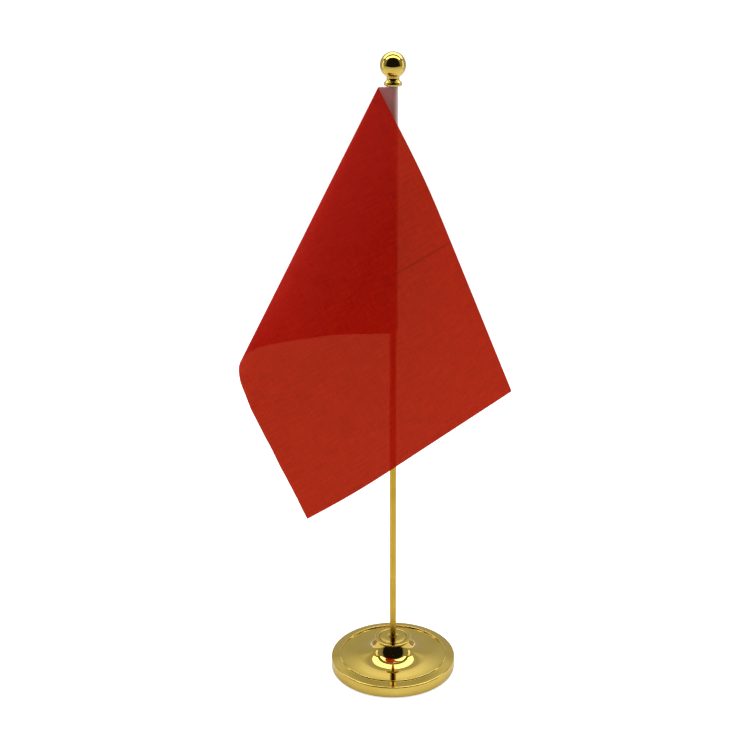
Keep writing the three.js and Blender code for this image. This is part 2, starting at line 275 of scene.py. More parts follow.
# %% Satin gold on the pole
def pole_finish():
    finish = Finish("pole_gold")
    lines = finish.noise(finish.place((9000, 9000, 60)), 1.0, 3)
    blotches = finish.noise(finish.place((150, 150, 55)), 1.0, 3)
    specks = finish.noise(finish.place(), 1400, 2, 0.6)
    colour = finish.mix(
        finish.remap(blotches, 0.3, 0.7, 0, 1), (0.540, 0.340, 0.036, 1), (0.690, 0.460, 0.068, 1)
    )
    colour = finish.mix(finish.remap(specks, 0.66, 0.78, 0, 0.25), colour, (0.5, 0.3, 0.05, 1))
    rough = finish.remap(blotches, 0.3, 0.7, 0.20, 0.30)
    bump = finish.bump(lines, 0.12, 0.00002)
    bump = finish.bump(blotches, 0.25, 0.0002, bump)
    finish.set(Metallic=1.0, Base_Color=colour, Roughness=rough, Normal=bump)
    return finish.material


pole_gold = pole_finish()
print("made", pole_gold.name)

# %% [markdown]
# ## Metals and foam that are mostly hidden
#
# The weight, the nut, the washer and the studs show only when the stand is taken apart, but each still gets
# the finish it has on the bench: sand-cast iron with a coarse skin, turned brass with fine rings, bright
# zinc with its faint crystals, and closed-cell foam with small pits.

# %% Cast iron, brass, zinc and foam
def cast_iron_finish():
    finish = Finish("cast_iron")
    grain = finish.noise(finish.place(), 900, 5, 0.65)
    rust = finish.noise(finish.place(), 90, 4, 0.6)
    colour = finish.mix(
        finish.remap(rust, 0.52, 0.7, 0, 0.5), (0.045, 0.042, 0.040, 1), (0.120, 0.048, 0.020, 1)
    )
    finish.set(
        Metallic=0.6,
        Base_Color=colour,
        Roughness=finish.remap(grain, 0.3, 0.7, 0.6, 0.9),
        Normal=finish.bump(grain, 0.6, 0.0003),
    )
    return finish.material


def brass_finish():
    finish = Finish("brass")
    radius, height = radius_and_height(finish)
    rings = finish.noise(finish.node("ShaderNodeCombineXYZ", {0: radius, 1: height}).outputs[0], 4200, 3)
    tarnish = finish.noise(finish.place(), 240, 4, 0.6)
    colour = finish.mix(
        finish.remap(tarnish, 0.4, 0.75, 0, 0.6), (0.62, 0.42, 0.12, 1), (0.30, 0.17, 0.04, 1)
    )
    finish.set(
        Metallic=1.0,
        Base_Color=colour,
        Roughness=finish.remap(rings, 0.3, 0.7, 0.22, 0.38),
        Normal=finish.bump(rings, 0.3, 0.00003),
    )
    return finish.material


def zinc_finish():
    finish = Finish("zinc_steel")
    cells = finish.node("ShaderNodeTexVoronoi", {"Vector": finish.place(), "Scale": 700})
    haze = finish.noise(finish.place(), 300, 4)
    colour = finish.mix(cells.outputs["Distance"], (0.40, 0.41, 0.42, 1), (0.56, 0.57, 0.60, 1))
    finish.set(
        Metallic=1.0, Base_Color=colour, Roughness=finish.remap(haze, 0.3, 0.7, 0.25, 0.45)
    )
    return finish.material


def foam_finish():
    finish = Finish("black_foam")
    cells = finish.node("ShaderNodeTexVoronoi", {"Vector": finish.place(), "Scale": 1500})
    dust = finish.noise(finish.place(), 260, 4, 0.6)
    colour = finish.mix(
        finish.remap(dust, 0.5, 0.8, 0, 0.5), (0.012, 0.012, 0.013, 1), (0.035, 0.034, 0.032, 1)
    )
    finish.set(
        Base_Color=colour,
        Roughness=0.92,
        Normal=finish.bump(cells.outputs["Distance"], 0.5, 0.0002),
    )
    return finish.material


cast_iron = cast_iron_finish()
brass = brass_finish()
zinc_steel = zinc_finish()
black_foam = foam_finish()
print("made", [m.name for m in (cast_iron, brass, zinc_steel, black_foam)])

# %% [markdown]
# ## The cloth
#
# The flag is thin polyester taffeta: a plain weave so open that the light of the room comes through it and
# the layer behind can be made out. That needs three things at once. Light that hits it scatters back
# (diffuse, with a little sheen), light from behind scatters through (translucent), and a small part goes
# straight through between the threads (transparent). The threads are drawn from the cloth's flat
# coordinates, which the mesh carries in a UV map, so they follow the cloth wherever it bends. Some threads
# are thicker than others, which gives the faint streaks along both directions. The openings vary from spot to
# spot too, which gives a fine grain.

# %% Red taffeta
def thread_streaks(finish, along, across, pitch, length):
    """Uneven threads: noise that changes fast across them and slowly along them."""
    vector = finish.node(
        "ShaderNodeCombineXYZ",
        {0: finish.math("DIVIDE", across, pitch), 1: finish.math("DIVIDE", along, length)},
    )
    return finish.noise(vector.outputs[0], 1.0, 3, 0.6)


def plain_weave(finish, s, v, pitch):
    """Height of a plain weave: each thread rises where the one it crosses dips."""
    turn = math.pi / pitch
    a = finish.math("SINE", finish.math("MULTIPLY", s, turn))
    b = finish.math("SINE", finish.math("MULTIPLY", v, turn))
    return finish.math("MULTIPLY", a, b)


def cloth_finish():
    finish = Finish("red_cloth")
    flat = finish.node("ShaderNodeUVMap", uv_map="flat_cloth").outputs[0]
    parts = finish.node("ShaderNodeSeparateXYZ", {0: flat}).outputs
    s, v = parts[0], parts[1]
    weft = thread_streaks(finish, v, s, 0.00075, 0.012)
    warp = thread_streaks(finish, s, v, 0.00075, 0.012)
    weave = plain_weave(finish, s, v, 0.0004)
    streaks = finish.math("MULTIPLY_ADD", weft, 0.6, finish.math("MULTIPLY", warp, 0.4))
    dye = finish.noise(flat, 420, 3, 0.7)
    grain = finish.noise(flat, 1500, 1, 0.5)
    blend = finish.remap(streaks, 0.36, 0.64, 0, 1)
    deep = finish.mix(finish.remap(dye, 0.35, 0.65, 0, 1), CLOTH_DEEP[0], CLOTH_DEEP[1])
    light = finish.mix(finish.remap(dye, 0.35, 0.65, 0, 1), CLOTH_LIGHT[0], CLOTH_LIGHT[1])
    colour = finish.mix(blend, deep, light)
    # painted light: a lighter red close to the roll, standing for light that gets between the layers
    colour = finish.mix(painted_roll_light(finish, s, v), colour, (0.92, 0.045, 0.028, 1))
    colour = finish.mix(pulled_thread(finish, s, v), colour, (0.05, 0.001, 0.001, 1))
    bump = finish.bump(weave, 0.25, 0.00003)
    bump = finish.bump(streaks, 0.45, 0.0001, bump)
    finish.set(Base_Color=colour, Roughness=finish.remap(streaks, 0.3, 0.7, 0.58, 0.70), Normal=bump)
    finish.shader.inputs["Sheen Weight"].default_value = 0.06
    finish.shader.inputs["Sheen Roughness"].default_value = 0.45
    finish.shader.inputs["Sheen Tint"].default_value = (1.0, 0.12, 0.08, 1)
    finish.shader.inputs["Specular IOR Level"].default_value = 0.05
    through = finish.node("ShaderNodeBsdfTranslucent", {"Color": CLOTH_THROUGH, "Normal": bump})
    straight = finish.node("ShaderNodeBsdfTransparent", {"Color": CLOTH_STRAIGHT})
    open_part = finish.remap(grain, 0.25, 0.75, 0.03, 0.27)
    layered(finish, through, 0.36, straight, open_part)
    return finish.material


def painted_roll_light(finish, s, v):
    """Painted light: how much lighter red is painted on close to the roll, where the cloth lies open and
    light gets between the layers.
    """
    away = finish.math("MULTIPLY_ADD", s, 0.838, finish.math("MULTIPLY_ADD", v, -0.546, -0.0078))
    fades = finish.remap(away, 0.045, 0.004, 0, 1)
    begins = finish.remap(away, -0.01, 0.0, 0, 1)
    near = finish.math("MULTIPLY", fades, begins)
    return finish.math("MULTIPLY", near, finish.remap(v, 0.100, 0.128, 0.42, 0.0))


def pulled_thread(finish, s, v):
    """How strongly the one dark pulled thread shows at a flat place."""
    away = finish.math("ABSOLUTE", finish.math("SUBTRACT", s, 0.1032))
    wander = finish.noise(finish.node("ShaderNodeCombineXYZ", {0: v}).outputs[0], 160, 3, 0.6)
    away = finish.math("ADD", away, finish.remap(wander, 0.3, 0.7, -0.0002, 0.0003))
    line = finish.remap(away, 0.0003, 0.0008, 1, 0)
    along = finish.math("MULTIPLY", finish.remap(v, 0.045, 0.030, 0, 1), finish.remap(v, 0, 0.012, 0.2, 1))
    strength = finish.remap(wander, 0.2, 0.8, 0.3, 0.9)
    return finish.math("MULTIPLY", finish.math("MULTIPLY", line, along), strength)


def layered(finish, through, through_part, straight, open_part):
    """The shader's own reflection, light from behind, and the open part between the threads."""
    body = finish.node("ShaderNodeMixShader", {0: through_part})
    finish.tree.links.new(finish.shader.outputs[0], body.inputs[1])
    finish.tree.links.new(through.outputs[0], body.inputs[2])
    whole = finish.node("ShaderNodeMixShader", {0: open_part})
    finish.tree.links.new(body.outputs[0], whole.inputs[1])
    finish.tree.links.new(straight.outputs[0], whole.inputs[2])
    finish.tree.links.new(whole.outputs[0], finish.output.inputs["Surface"])


CLOTH_DEEP = ((0.40, 0.0030, 0.0016, 1), (0.40, 0.0075, 0.0006, 1))
CLOTH_LIGHT = ((0.68, 0.0130, 0.0080, 1), (0.68, 0.0240, 0.0020, 1))
CLOTH_THROUGH = (0.52, 0.004, 0.001, 1)
CLOTH_STRAIGHT = (0.34, 0.074, 0.028, 1)
red_cloth = cloth_finish()
print("made", red_cloth.name, "with", len(red_cloth.node_tree.nodes), "nodes")

# %% [markdown]
# ## Tape and thread
#
# The sleeve is a soft white tape, thin enough that the red edge of the flag shows through it as a dusty
# pink. That pink is painted: the tape's colour and the light going straight through it are tinted pink.
# Otherwise it is the same recipe as the cloth, with more light going straight through.

# %% White tape and sewing thread
def tape_finish():
    finish = Finish("white_tape")
    flat = finish.node("ShaderNodeUVMap", uv_map="flat_cloth").outputs[0]
    parts = finish.node("ShaderNodeSeparateXYZ", {0: flat}).outputs
    weave = plain_weave(finish, parts[0], parts[1], 0.00035)
    streaks = thread_streaks(finish, parts[1], parts[0], 0.0006, 0.02)
    # painted see-through: the pink in these colours stands for the red cloth showing through; the tape itself
    # is white
    colour = finish.mix(
        finish.remap(streaks, 0.35, 0.65, 0, 1), (0.64, 0.50, 0.49, 1), (0.76, 0.63, 0.61, 1)
    )
    bump = finish.bump(weave, 0.3, 0.00003)
    bump = finish.bump(streaks, 0.3, 0.00006, bump)
    finish.set(Base_Color=colour, Roughness=0.6, Normal=bump)
    finish.shader.inputs["Sheen Weight"].default_value = 0.1
    finish.shader.inputs["Specular IOR Level"].default_value = 0.3
    through = finish.node(
        "ShaderNodeBsdfTranslucent", {"Color": (0.70, 0.62, 0.54, 1), "Normal": bump}
    )
    # painted see-through: light going straight through the tape is tinted pink for the red cloth behind it
    straight = finish.node("ShaderNodeBsdfTransparent", {"Color": (1.0, 0.84, 0.98, 1)})
    layered(finish, through, 0.45, straight, finish.remap(weave, -1, 1, 0.40, 0.56))
    return finish.material


def thread_finish():
    finish = Finish("white_thread")
    twist = finish.node(
        "ShaderNodeTexWave", {"Vector": finish.place((1, 1, 1)), "Scale": 900, "Distortion": 1.0}
    )
    finish.set(
        Base_Color=finish.mix(twist.outputs["Fac"], (0.70, 0.66, 0.60, 1), (0.86, 0.83, 0.78, 1)),
        Roughness=0.55,
        Normal=finish.bump(twist.outputs["Fac"], 0.4, 0.00005),
    )
    return finish.material


white_tape = tape_finish()
white_thread = thread_finish()
print("made", white_tape.name, "and", white_thread.name)

# %% [markdown]
# ## The base shell
#
# The base is a disc of thin metal pressed over a former. From the outside in it has an upright wall, a
# small rounded corner, a flat band, a narrow raised step, a plate that climbs gently inward, and a trumpet
# that rises to the hub. The hub ends in a rounded lip. The outline below goes the other way, from the hub
# outwards, then comes back along the underside, one wall thickness in, so the shell is really hollow.

# %% Base shell
base_low, base_high = frame_size("base_shell")
BASE_RADIUS = base_high.x
WALL_FOOT = base_low.z
HUB_TOP = base_high.z
RIM_HEIGHT = 7.5
RIM_FILLET = 0.8
BAND_WIDTH = 5.6
STEP_RISE = 0.6
PLATE_RADIUS, PLATE_HEIGHT, PLATE_SLOPE = 23.0, 8.45, math.radians(85)
FLARE_RADIUS, FLARE_HEIGHT, FLARE_SLOPE = 13.6, 11.8, math.radians(52)
NECK_SLOPE = math.radians(17)
NECK_RADIUS, NECK_HEIGHT = 10.3, 17.8
HUB_RADIUS, LIP_WIDTH = 11.4, 2.7
SHELL_WALL = 0.8
SOCKET_RADIUS = 4.1
HUB_FLOOR = HUB_TOP - 1.1


def shell_skin():
    """The outer skin from the neck to the foot of the wall."""
    step_radius = BASE_RADIUS - BAND_WIDTH
    step_height = RIM_HEIGHT + 0.7
    neck, flare = (NECK_RADIUS, NECK_HEIGHT), (FLARE_RADIUS, FLARE_HEIGHT)
    plate = (PLATE_RADIUS, PLATE_HEIGHT)

    def ease(start, slope, distance):
        return start[0] + distance * math.sin(slope), start[1] - distance * math.cos(slope)

    upper = bezier(neck, ease(neck, NECK_SLOPE, 2.4), ease(flare, FLARE_SLOPE, -2.2), flare, 30)
    lower = bezier(flare, ease(flare, FLARE_SLOPE, 2.8), ease(plate, PLATE_SLOPE, -4.2), plate, 34)
    outer = bezier(
        plate,
        ease(plate, PLATE_SLOPE, 3.0),
        (step_radius - 4.0, step_height - 0.18),
        (step_radius - 0.9, step_height - 0.2),
        24,
    )
    bead = arc((step_radius - 0.45, step_height + STEP_RISE - 0.42), 0.42, 160, 20, 10)
    fillet = arc((BASE_RADIUS - RIM_FILLET, RIM_HEIGHT - RIM_FILLET), RIM_FILLET, 84, 0, 10)
    band = bezier(
        (step_radius + 0.15, step_height),
        (step_radius + 1.2, step_height - 0.12),
        (BASE_RADIUS - 2.5, RIM_HEIGHT + 0.18),
        fillet[0],
        8,
    )
    foot = arc((BASE_RADIUS - 0.3, WALL_FOOT + 0.3), 0.3, 0, -90, 5)
    return upper + lower[1:] + outer[1:] + bead + band[:-1] + fillet + foot


def base_shell():
    lip = HUB_RADIUS - LIP_WIDTH
    skin = shell_skin()
    underside = [p for p in reversed(shifted(skin, SHELL_WALL)) if p[1] > WALL_FOOT + 0.2]
    outline = (
        [(SOCKET_RADIUS + 0.3, HUB_FLOOR), (lip, HUB_FLOOR), (lip, HUB_TOP - 0.25)]
        + arc((lip + 0.25, HUB_TOP - 0.25), 0.25, 180, 90, 5)[1:]
        + arc((HUB_RADIUS - 0.55, HUB_TOP - 0.55), 0.55, 90, -60, 14)
        + skin
        + underside
        + [(NECK_RADIUS - SHELL_WALL - 0.2, HUB_FLOOR - SHELL_WALL)]
        + [(SOCKET_RADIUS + 0.3, HUB_FLOOR - SHELL_WALL)]
    )
    return turned("base_shell_spun", outline[::-1], gold_plate, 192)


shell = base_shell()
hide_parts("base_shell")
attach(shell, "base")
print("base shell:", len(shell.data.polygons), "faces, radius", round(BASE_RADIUS, 2), "mm")

# %% [markdown]
# ## The socket in the hub
#
# The pole screws into a flanged bushing whose flat top closes the hub. Its top face has a small chamfer at
# the rim and a rounded mouth at the bore, where the light catches a thin bright ring.

# %% Socket bushing
bush_low, bush_high = frame_size("socket_bushing")
POLE_RADIUS = frame_size("pole_tube")[1].x
BORE_RADIUS = POLE_RADIUS + 0.3
POLE_FOOT = frame_size("pole_tube")[0].z
STUD_RADIUS = frame_size("pole_foot_stud")[1].x
SOCKET_FOOT = bush_low.z
FLANGE_RADIUS = bush_high.x


def socket_bushing():
    top = HUB_TOP
    flange = top - 0.8
    screw = STUD_RADIUS + 0.3
    thread = []
    pitch = 0.5
    turns = int((flange - 1 - SOCKET_FOOT) / pitch)
    for i in range(turns):
        z = SOCKET_FOOT + 0.4 + i * pitch
        thread += [(SOCKET_RADIUS - 0.18, z), (SOCKET_RADIUS, z + 0.18), (SOCKET_RADIUS, z + 0.3)]
    outline = (
        [(screw, SOCKET_FOOT), (SOCKET_RADIUS - 0.3, SOCKET_FOOT)]
        + thread
        + [(SOCKET_RADIUS, flange), (FLANGE_RADIUS, flange), (FLANGE_RADIUS, top - 0.2)]
        + arc((FLANGE_RADIUS - 0.2, top - 0.2), 0.2, 0, 90, 5)[1:]
        + arc((BORE_RADIUS + 0.25, top - 0.25), 0.25, 90, 180, 6)
        + [(BORE_RADIUS, POLE_FOOT - 0.3), (screw, POLE_FOOT - 0.3)]
    )
    return turned("socket_bushing_turned", outline, gold_plate, 128)


bushing = socket_bushing()
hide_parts("socket_bushing")
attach(bushing, "base")
print("socket bore", round(2 * BORE_RADIUS, 2), "mm round a pole of", round(2 * POLE_RADIUS, 2), "mm")

# %% [markdown]
# ## Foam pad, weight, washer and nut
#
# Under the base a foam disc keeps the table from being scratched. It is die-cut, so its edge bulges a
# little. The weight, its washer and its nut are simple shapes already, so the frame's own solids take the
# finishes made above.

# %% Pad and hidden metal
pad_low, pad_high = frame_size("base_pad")
PAD_EDGE = 0.35
PAD_RINGS = (12, 24, 34)
pad = turned(
    "base_pad_cut",
    [(0, pad_low.z)]
    + [(r, pad_low.z) for r in PAD_RINGS]
    + arc((pad_high.x - PAD_EDGE, pad_low.z + PAD_EDGE), PAD_EDGE, -90, 0, 5)
    + arc((pad_high.x - PAD_EDGE, pad_high.z - PAD_EDGE), PAD_EDGE, 0, 90, 5)
    + [(r, pad_high.z) for r in reversed(PAD_RINGS)]
    + [(0, pad_high.z)],
    black_foam,
    128,
)
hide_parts("base_pad")
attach(pad, "base")

for node, material in (
    ("ballast_disc", cast_iron),
    ("bushing_washer", zinc_steel),
    ("bushing_nut", brass),
):
    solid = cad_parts[node]
    solid.data.materials.clear()
    solid.data.materials.append(material)
    print(node, "keeps its solid and takes", material.name)

# %% [markdown]
# ## The pole
#
# The pole is a drawn brass tube, four millimetres across. Its ends are cut square and lightly broken. A
# threaded stud is fixed in each end: the lower one screws into the base and the upper one takes the finial.

# %% Pole tube
POLE_TOP = frame_size("pole_tube")[1].z
POLE_WALL = 0.5


def pole_tube():
    inner = POLE_RADIUS - POLE_WALL
    edge = 0.2
    steps = 48
    length = POLE_TOP - POLE_FOOT
    side = [(POLE_RADIUS, POLE_FOOT + edge + (length - 2 * edge) * i / steps) for i in range(steps + 1)]
    outline = (
        [(inner, POLE_FOOT), (POLE_RADIUS - edge, POLE_FOOT)]
        + side
        + [(POLE_RADIUS - edge, POLE_TOP), (inner, POLE_TOP)]
    )
    return turned("pole_drawn_tube", outline, pole_gold, 64)


pole = pole_tube()
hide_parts("pole_tube")
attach(pole, "pole")
print("pole", round(POLE_TOP - POLE_FOOT, 1), "mm long, wall", POLE_WALL, "mm")

# %% [markdown]
# A screw thread is a ridge that climbs one pitch in each turn. The mesh is a grid of rings whose radius
# depends on the height and the angle together, so that the ridge runs round as a true helix.

# %% Threaded studs
THREAD_PITCH = 0.45
THREAD_DEPTH = 0.22


def threaded_stud(name, low, high, thread_low, thread_high):
    """A rod with a helical thread between two heights."""
    per_pitch, segments = 8, 32
    rings = int((high - low) / THREAD_PITCH * per_pitch)
    outline = [(0, low), (STUD_RADIUS - 0.4, low)]
    outline += [(STUD_RADIUS, low + (high - low) * (i + 0.5) / rings) for i in range(rings)]
    outline += [(STUD_RADIUS - 0.4, high), (0, high)]

    def wobble(radius, height, angle):
        tip = min(1, (height - low) / 0.4, (high - height) / 0.4)
        radius = min(radius, STUD_RADIUS - 0.4 * (1 - max(tip, 0)))
        if thread_low <= height <= thread_high and radius > STUD_RADIUS - 0.35:
            phase = (height / THREAD_PITCH - angle / (2 * math.pi)) % 1
            radius -= THREAD_DEPTH * (1 - abs(2 * phase - 1))
        return radius, height

    return turned(name, outline, brass, segments, wobble)


foot_low, foot_high = frame_size("pole_foot_stud")
head_low, head_high = frame_size("pole_head_stud")
foot_stud = threaded_stud("pole_foot_screw", foot_low.z, foot_high.z, foot_low.z, POLE_FOOT)
head_stud = threaded_stud("pole_head_screw", head_low.z, head_high.z, POLE_TOP, head_high.z)
for stud, node in ((foot_stud, "pole_foot_stud"), (head_stud, "pole_head_stud")):
    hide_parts(node)
    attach(stud, "pole")
print("upper stud stands", round(head_high.z - POLE_TOP, 1), "mm above the pole")

# %% [markdown]
# ## The finial
#
# One turned piece: a ball, a narrow neck with a bright hollow under the ball, and a collar that flares out
# to cover the top of the sleeve. A small threaded insert is pressed into its bore.

# %% Finial ball and insert
ball_low, ball_high = frame_size("finial_ball")
FINIAL_FOOT = ball_low.z
BALL_RADIUS = 7.1
BALL_HEIGHT = ball_high.z - BALL_RADIUS
COLLAR_RADIUS = 4.9
FINIAL_NECK = 3.42
INSERT_WALL, INSERT_GAP = 0.7, 0.6


def finial_ball():
    meet = -58
    ball = arc((0, BALL_HEIGHT), BALL_RADIUS, 90, meet, 64)
    ball[0] = (0, ball[0][1])
    start = ball[-1]
    f = FINIAL_FOOT
    hollow = bezier(
        (start[0] - 0.10, start[1] - 0.20),
        (3.50, f + 4.8),
        (FINIAL_NECK, f + 4.4),
        (FINIAL_NECK, f + 3.9),
        12,
    )
    flare = bezier((FINIAL_NECK, f + 3.9), (FINIAL_NECK, f + 3.2), (3.85, f + 2.7), (4.50, f + 2.3), 14)
    shoulder = bezier((4.50, f + 2.3), (4.82, f + 2.1), (COLLAR_RADIUS, f + 1.8), (COLLAR_RADIUS, f + 1.3), 8)
    rolled = bezier((COLLAR_RADIUS, f + 1.3), (COLLAR_RADIUS, f + 0.6), (4.80, f + 0.1), (4.30, f), 8)
    bore = STUD_RADIUS + INSERT_WALL + INSERT_GAP
    bore_top = FINIAL_FOOT + 6.6
    outline = (
        ball
        + hollow
        + flare[1:]
        + shoulder[1:]
        + rolled[1:]
        + [(bore + 0.3, FINIAL_FOOT), (bore, FINIAL_FOOT + 0.3), (bore, bore_top), (0, bore_top)]
    )
    return turned("finial_turned", outline[::-1], gold_plate, 160)


finial = finial_ball()
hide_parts("finial_ball")
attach(finial, "finial")

insert_low, insert_high = frame_size("finial_insert")


def finial_insert():
    """A ring with knurling outside, which is what holds it in the ball."""
    inner, outer = STUD_RADIUS + 0.3, insert_high.x
    steps = 10
    height = insert_high.z - insert_low.z
    outline = [(inner, insert_low.z), (outer - 0.1, insert_low.z)]
    outline += [(outer, insert_low.z + 0.3 + (height - 0.6) * i / steps) for i in range(steps + 1)]
    outline += [(outer - 0.1, insert_high.z), (inner, insert_high.z)]

    def wobble(radius, z, angle):
        if radius > outer - 0.05:
            radius -= 0.1 * (0.5 + 0.5 * math.cos(36 * angle))
        return radius, z

    return turned("finial_knurled_insert", outline, brass, 144, wobble)


insert = finial_insert()
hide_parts("finial_insert")
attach(insert, "finial")
print("finial", round(ball_high.z - ball_low.z, 1), "mm high, ball", 2 * BALL_RADIUS, "mm across")

# %% [markdown]
# ## How the flag bends
#
# The cloth is flat: a sheet 140 mm deep at the pole and 201 mm long. It hangs from the sleeve and has been
# rolled over once towards the front. Cloth like this hardly stretches, so its shape can be built exactly:
# straight bend lines are drawn on the flat sheet, and the part beyond each line is turned a little about
# it. The lines fan out from the top edge. Gentle turns bow the back layer, a close bundle of lines makes
# the roll, and a last set of gentle turns curves the front layer across the pole.
#
# Flat places are given as s, along the top edge from the edge in the sleeve, and v, down from the top edge.

# %% Bend lines
HOIST = 140.0
FLY_LENGTH = 200.9
FLY_EDGE = 144.2
FLY_SKEW = -2.4
CLOTH_INSET = 0.9
SLEEVE_TOP = frame_size("flag_sleeve")[1].z
CLOTH_BACK = -(POLE_RADIUS + 0.6)
CLOTH_CENTRE = CLOTH_BACK - 0.15
ROLL_START, ROLL_WIDTH, ROLL_ANGLE, ROLL_SPREAD, ROLL_TURN = 8.3, 2.0, 123.1, 14.7, 155.4
LEAN, SWEEP_TURN = 2.3, 24.5
WRAP_TURN, WRAP_REACH, WRAP_ANGLE = 25.9, 107.3, 139.6


def fan(start, end, angle_from, angle_to, turn, count):
    """Shares a turn over bend lines: little at both ends, most in the middle."""
    lines = []
    for i in range(count):
        part = (i + 0.5) / count
        share = (1 - math.cos(2 * math.pi * part)) / count
        place = start + (end - start) * part
        angle = angle_from + (angle_to - angle_from) * part
        lines.append((place, math.radians(angle), math.radians(-turn * share)))
    return lines


def bend_lines():
    """Every bend line as (place on the top edge, angle, turn)."""
    roll_from, roll_to = ROLL_ANGLE - ROLL_SPREAD, ROLL_ANGLE + ROLL_SPREAD
    roll_end = ROLL_START + ROLL_WIDTH
    lines = [(part, math.radians(90), 0.0) for part in np.linspace(0, ROLL_START, 9)[:-1]]
    lines += [(ROLL_START, math.radians(90), math.radians(LEAN))]
    lines += fan(ROLL_START, ROLL_START, 91, roll_from, SWEEP_TURN, 18)
    lines += fan(ROLL_START, roll_end, roll_from, roll_to, ROLL_TURN, 64)
    lines += fan(roll_end, WRAP_REACH, roll_to, WRAP_ANGLE, WRAP_TURN, 60)
    rest = np.linspace(WRAP_REACH, FLY_LENGTH, 50)[1:-1]
    lines += [(part, math.radians(WRAP_ANGLE), 0.0) for part in rest]
    return lines


print("bend lines:", len(bend_lines()))


# %% [markdown]
# The lower corner of the fly has to be a corner of the mesh too, so one more bend line without a turn is put
# exactly through it. The far edge is a few millimetres off square.

# %% The corner line and the length of each line
CORNER = (FLY_LENGTH + FLY_SKEW, FLY_EDGE)


def beyond_corner(line):
    place, angle, _ = line
    return (CORNER[0] - place) * math.sin(angle) + CORNER[1] * math.cos(angle) < 0


def with_corner_line(lines):
    """Adds the line through the lower corner, found by halving the step that crosses it."""
    after = next(i for i, line in enumerate(lines) if beyond_corner(line))
    a, b = lines[after - 1], lines[after]
    low, high = 0.0, 1.0
    for _ in range(40):
        middle = (low + high) / 2
        line = (a[0] + (b[0] - a[0]) * middle, a[1] + (b[1] - a[1]) * middle, 0.0)
        if beyond_corner(line):
            high = middle
        else:
            low = middle
    return lines[:after] + [line] + lines[after:]


def line_length(line):
    """From the top edge to the lower edge or the fly edge, along the line."""
    place, angle, _ = line
    ds, dv = -math.cos(angle), math.sin(angle)
    lower = (CORNER[1] - HOIST) / CORNER[0]
    fly = (CORNER[0] - FLY_LENGTH) / CORNER[1]
    reaches = [(HOIST + lower * place) / (dv - lower * ds), (FLY_LENGTH - place) / (ds - fly * dv)]
    return min(reach for reach in reaches if reach > 0)


LINES = with_corner_line(bend_lines())
print("longest line", round(max(map(line_length, LINES)), 1), "mm")

# %% [markdown]
# ## The cloth's mesh
#
# Each bend line becomes a row of points. Turning the part beyond a line about it is a matrix, and the
# matrices multiply up from the sleeve to the fly. The flat place of every point goes into the UV map, so
# the weave can be drawn in real millimetres. Heat-cut edges aren't quite straight, so the flat outline is
# moved by a few tenths of a millimetre before it is bent.

# %% Flag cloth
ACROSS = 110
RIPPLE = 0.10


def smooth_noise(x, y, seed):
    """A soft, repeatable unevenness from a few waves."""
    rng = np.random.default_rng(seed)
    total = 0.0
    for _ in range(7):
        fx, fy = rng.normal(0, 1, 2)
        total += math.sin(fx * x + fy * y + rng.uniform(0, 2 * math.pi)) / 7
    return total


def cut_edge(s, v, part):
    """Moves a flat place next to the cut edges by a few tenths of a millimetre."""
    near = max(0.0, (part - 0.94) / 0.06)
    uneven = smooth_noise(s * 0.22, v * 0.22, 5) * 0.45 + smooth_noise(s * 1.3, v * 1.3, 6) * 0.12
    return s, v + near * uneven if s < CORNER[0] - 4 else v


def flag_cloth():
    place = Matrix.Translation((CLOTH_INSET, CLOTH_CENTRE, SLEEVE_TOP))
    vertices, flats, rows = [], [], []
    for line in LINES:
        start, angle, turn = line
        length = line_length(line)
        there = Matrix.Translation((-start, 0, 0))
        direction = Vector((math.cos(angle), 0, -math.sin(angle)))
        turning = there @ Matrix.Rotation(turn, 4, direction) @ there.inverted()
        normal = (place.to_3x3() @ Vector((0, 1, 0))).normalized()
        row = []
        for k in range(ACROSS + 1):
            part = k / ACROSS
            s = start - math.cos(angle) * length * part
            v = math.sin(angle) * length * part
            s, v = cut_edge(s, v, part)
            free = min(1.0, max(0.0, (s - 12) / 30))
            ripple = RIPPLE * free * smooth_noise(s * 0.06, v * 0.06, 11)
            row.append(len(vertices))
            vertices.append(tuple(place @ Vector((-s, 0, -v)) + normal * ripple))
            flats.append((s * MM, v * MM))
        rows.append(row)
        place = place @ turning
    tip = len(vertices)
    vertices.append(tuple(place @ Vector((-FLY_LENGTH, 0, 0))))
    flats.append((FLY_LENGTH * MM, 0.0))
    faces = []
    for a, b in zip(rows, rows[1:]):
        faces += [(a[k], b[k], b[k + 1], a[k + 1]) for k in range(ACROSS)]
    faces += [(rows[-1][k], tip, rows[-1][k + 1]) for k in range(ACROSS)]
    cloth = add_object("flag_cloth_hung", vertices, faces, red_cloth)
    return with_flat_map(cloth, flats)


def with_flat_map(obj, flats):
    """Stores each vertex's flat place, in metres, as the UV map that the weave uses."""
    layer = obj.data.uv_layers.new(name="flat_cloth")
    for loop in obj.data.loops:
        layer.data[loop.index].uv = flats[loop.vertex_index]
    obj.data.attributes.remove(obj.data.attributes["sharp_edge"])
    return obj


cloth = flag_cloth()
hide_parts("flag_cloth")
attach(cloth, "flag")
cloth_area = sum(p.area for p in cloth.data.polygons)
print("cloth area", round(cloth_area * 1e4), "cm2 of", round(HOIST * FLY_LENGTH / 100), "cm2 cut")

# %% [markdown]
# ## The sleeve
#
# A strip of white tape is folded round the pole and its two ends hold the flag's edge between them. On the
# real flag it is a soft loop, a little wider than the pole, and here it is one thin sheet that goes from
# behind the cloth round the pole to the front of it. The loop isn't perfectly even down its length. The
# front end reaches a little past the CAD's plain solid, to cover the corner where the roll starts.

# %% Sleeve tape
sleeve_low, sleeve_high = frame_size("flag_sleeve")
FLAP_REACH = 1.25


